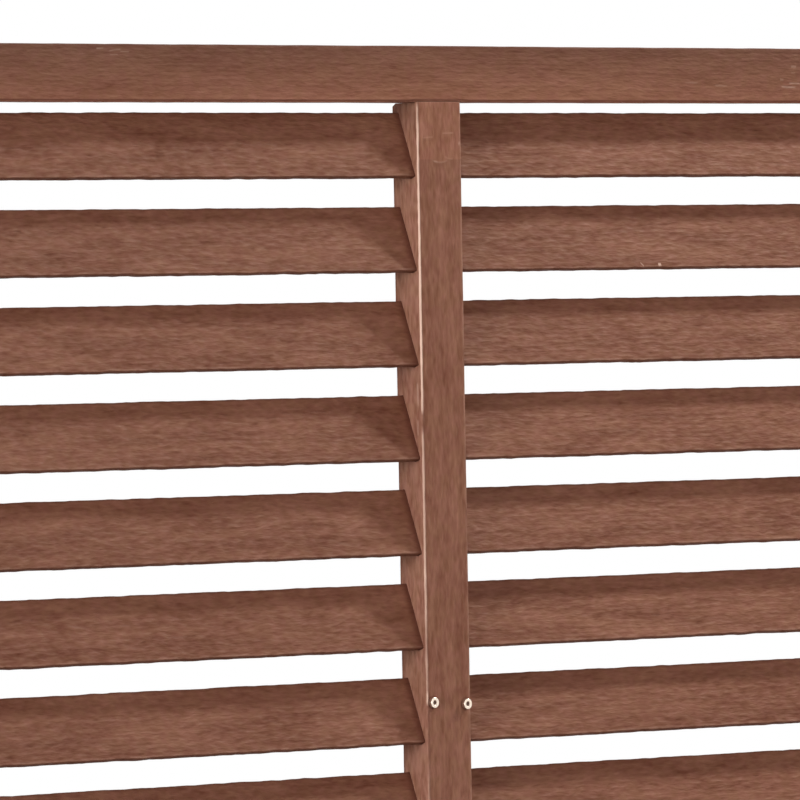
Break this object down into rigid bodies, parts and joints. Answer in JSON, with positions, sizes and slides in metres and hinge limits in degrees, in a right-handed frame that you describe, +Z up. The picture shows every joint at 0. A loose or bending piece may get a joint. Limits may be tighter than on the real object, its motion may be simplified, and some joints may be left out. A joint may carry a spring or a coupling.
{
  "type": "louvre fence panel",
  "caption": "Framed louvre fence panel of stained timber: fixed tilted slats housed in the stiles and a central mullion, between a continuous top rail and a bottom rail.",
  "frame": {"origin": "on the underside of the bottom rail, at the middle of the panel's width and of the frame's depth", "axes": "+X to the right as seen from the front, along the rails; +Y to the back, so the front with the slats' lower edges faces -Y; +Z up"},
  "size_m": [1.8, 0.0309, 1],
  "materials": {
    "stained_timber": "red-brown stained timber, brushed grain, matt to low sheen",
    "plated_steel": "zinc-plated steel, pale"
  },
  "bodies": {
    "root": {"top_rail": "stained_timber", "bottom_rail": "stained_timber", "left_stile": "stained_timber", "mullion": "stained_timber", "right_stile": "stained_timber", "slat_left_01": "stained_timber", "slat_left_02": "stained_timber", "slat_left_03": "stained_timber", "slat_left_04": "stained_timber", "slat_left_05": "stained_timber", "slat_left_06": "stained_timber", "slat_left_07": "stained_timber", "slat_left_08": "stained_timber", "slat_left_09": "stained_timber", "slat_left_10": "stained_timber", "slat_left_11": "stained_timber", "slat_left_12": "stained_timber", "slat_left_13": "stained_timber", "slat_right_01": "stained_timber", "slat_right_02": "stained_timber", "slat_right_03": "stained_timber", "slat_right_04": "stained_timber", "slat_right_05": "stained_timber", "slat_right_06": "stained_timber", "slat_right_07": "stained_timber", "slat_right_08": "stained_timber", "slat_right_09": "stained_timber", "slat_right_10": "stained_timber", "slat_right_11": "stained_timber", "slat_right_12": "stained_timber", "slat_right_13": "stained_timber", "top_screw_left_stile_1": "plated_steel", "bottom_screw_left_stile_1": "plated_steel", "top_screw_left_stile_2": "plated_steel", "bottom_screw_left_stile_2": "plated_steel", "top_screw_mullion_1": "plated_steel", "bottom_screw_mullion_1": "plated_steel", "top_screw_mullion_2": "plated_steel", "bottom_screw_mullion_2": "plated_steel", "top_screw_right_stile_1": "plated_steel", "bottom_screw_right_stile_1": "plated_steel", "top_screw_right_stile_2": "plated_steel", "bottom_screw_right_stile_2": "plated_steel", "slat_screw_left_bay_at_left_stile": "plated_steel", "slat_screw_left_bay_at_mullion": "plated_steel", "slat_screw_right_bay_at_mullion": "plated_steel", "slat_screw_right_bay_at_right_stile": "plated_steel"}
  },
  "joints": []
}
